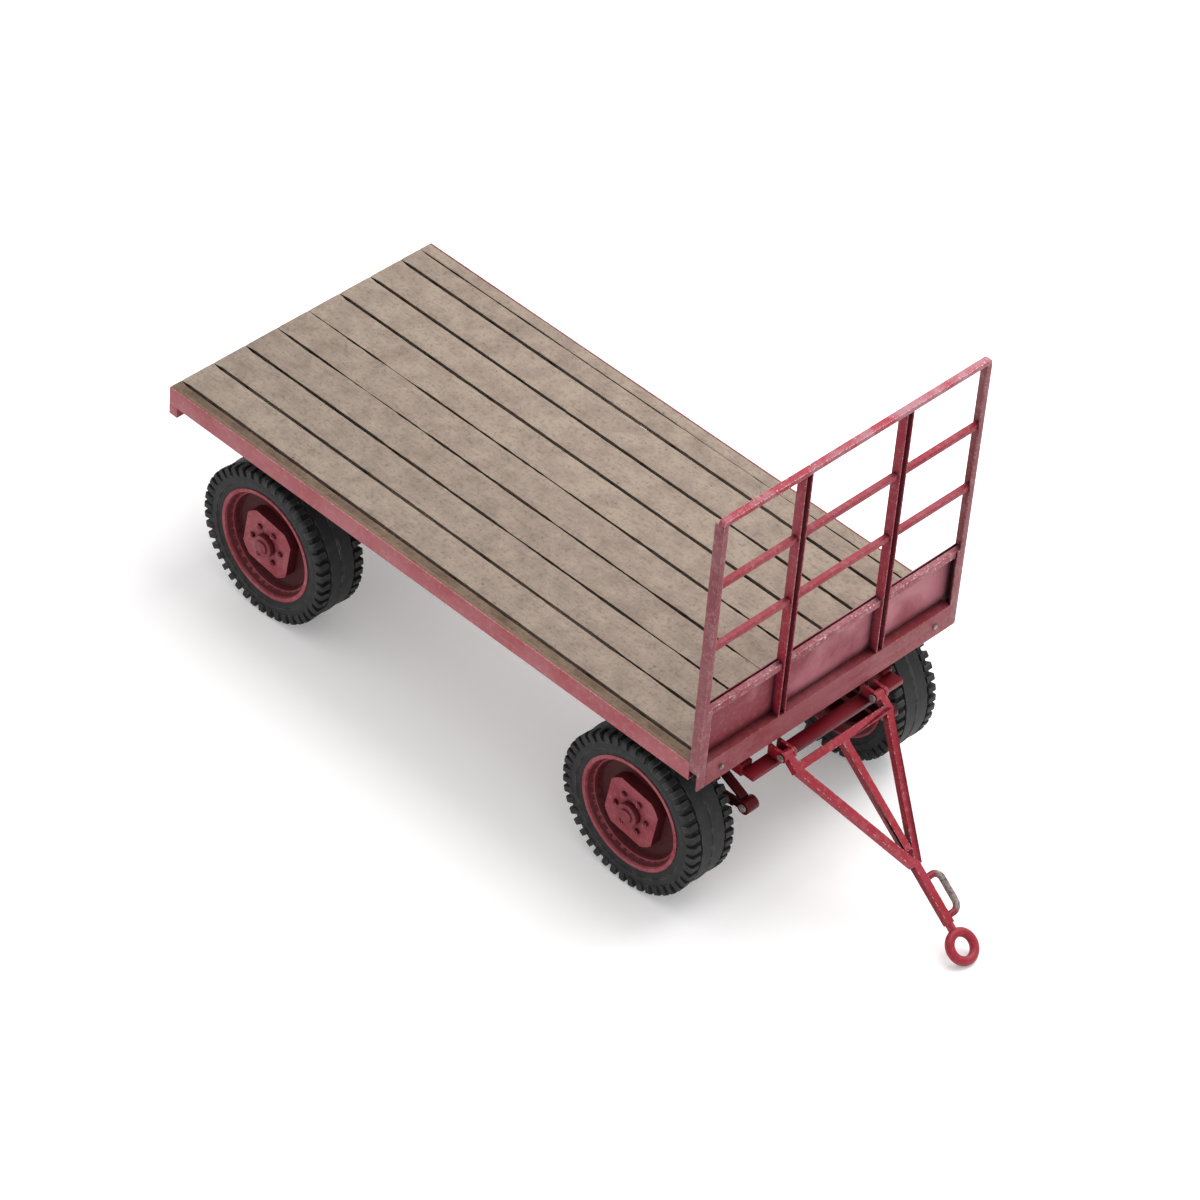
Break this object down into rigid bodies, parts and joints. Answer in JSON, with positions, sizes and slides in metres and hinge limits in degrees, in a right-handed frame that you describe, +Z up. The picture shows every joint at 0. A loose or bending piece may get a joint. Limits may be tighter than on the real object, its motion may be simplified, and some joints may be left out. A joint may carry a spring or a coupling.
{
  "type": "flat-bed farm wagon",
  "caption": "Four-wheel flat-bed farm wagon with planked deck, open front headboard, turntable steering and hinged towing drawbar.",
  "frame": {"origin": "on the ground, below the middle of the whole wagon", "axes": "+X forwards to the drawbar, +Y to the wagon's left, +Z up"},
  "size_m": [5.2666, 2, 2.875],
  "materials": {
    "deck_boards": "weathered",
    "edge_boards": "weathered",
    "frame_paint": "matt, faded",
    "drawbar_paint": "satin, chipped",
    "undercarriage_paint": "satin",
    "wheel_paint": "matt, faded",
    "bare_steel": "worn",
    "tyre": "matt"
  },
  "bodies": {
    "deck": {"plank_1": "deck_boards", "plank_2": "deck_boards", "plank_3": "deck_boards", "plank_4": "deck_boards", "plank_5": "deck_boards", "plank_6": "deck_boards", "plank_7": "deck_boards", "plank_8": "deck_boards", "edge_strips": "edge_boards", "side_rail_right": "frame_paint", "side_rail_left": "frame_paint", "front_beam": "frame_paint", "rear_beam": "frame_paint", "main_beams": "undercarriage_paint", "cross_members": "undercarriage_paint", "headboard_posts": "frame_paint", "headboard_top_rail": "frame_paint", "inner_posts": "frame_paint", "headboard_rails": "frame_paint", "headboard_panel": "frame_paint", "panel_cap": "frame_paint", "headboard_bolts": "bare_steel", "upper_ring": "undercarriage_paint", "kingpin": "bare_steel", "rear_subframe": "undercarriage_paint", "rear_hangers": "undercarriage_paint", "rear_springs": "undercarriage_paint", "rear_spring_pins": "bare_steel", "rear_u_bolts": "bare_steel", "rear_axle": "undercarriage_paint"},
    "turntable": {"lower_ring": "undercarriage_paint", "lower_frame": "drawbar_paint", "drawbar_lugs": "drawbar_paint", "front_hangers": "undercarriage_paint", "front_springs": "undercarriage_paint", "front_spring_pins": "bare_steel", "front_u_bolts": "bare_steel", "front_axle": "undercarriage_paint"},
    "drawbar": {"drawbar_frame": "drawbar_paint", "drawbar_handle": "bare_steel", "towing_eye": "drawbar_paint", "drawbar_pins": "bare_steel"},
    "wheelset_front_right": {"tyre_front_right": "tyre", "wheel_front_right": "wheel_paint", "hub_front_right": "wheel_paint", "nuts_front_right": "wheel_paint"},
    "wheelset_front_left": {"tyre_front_left": "tyre", "wheel_front_left": "wheel_paint", "hub_front_left": "wheel_paint", "nuts_front_left": "wheel_paint"},
    "wheelset_rear_right": {"tyre_rear_right": "tyre", "wheel_rear_right": "wheel_paint", "hub_rear_right": "wheel_paint", "nuts_rear_right": "wheel_paint"},
    "wheelset_rear_left": {"tyre_rear_left": "tyre", "wheel_rear_left": "wheel_paint", "hub_rear_left": "wheel_paint", "nuts_rear_left": "wheel_paint"}
  },
  "joints": [
    {"name": "steer", "type": "hinge", "parent": "deck", "child": "turntable", "pos_m": [0.94872, 0, 0.9], "axis": [0, 0, 1], "range_deg": [-90, 90]},
    {"name": "drawbar_lift", "type": "hinge", "parent": "turntable", "child": "drawbar", "pos_m": [1.49672, 0, 0.948], "axis": [0, -1, 0], "range_deg": [0, 45]},
    {"name": "roll_front_right", "type": "hinge", "parent": "turntable", "child": "wheelset_front_right", "pos_m": [0.94872, -0.795, 0.488], "axis": [0, 1, 0], "continuous": true},
    {"name": "roll_front_left", "type": "hinge", "parent": "turntable", "child": "wheelset_front_left", "pos_m": [0.94872, 0.795, 0.488], "axis": [0, 1, 0], "continuous": true},
    {"name": "roll_rear_right", "type": "hinge", "parent": "deck", "child": "wheelset_rear_right", "pos_m": [-1.89928, -0.795, 0.488], "axis": [0, 1, 0], "continuous": true},
    {"name": "roll_rear_left", "type": "hinge", "parent": "deck", "child": "wheelset_rear_left", "pos_m": [-1.89928, 0.795, 0.488], "axis": [0, 1, 0], "continuous": true}
  ]
}
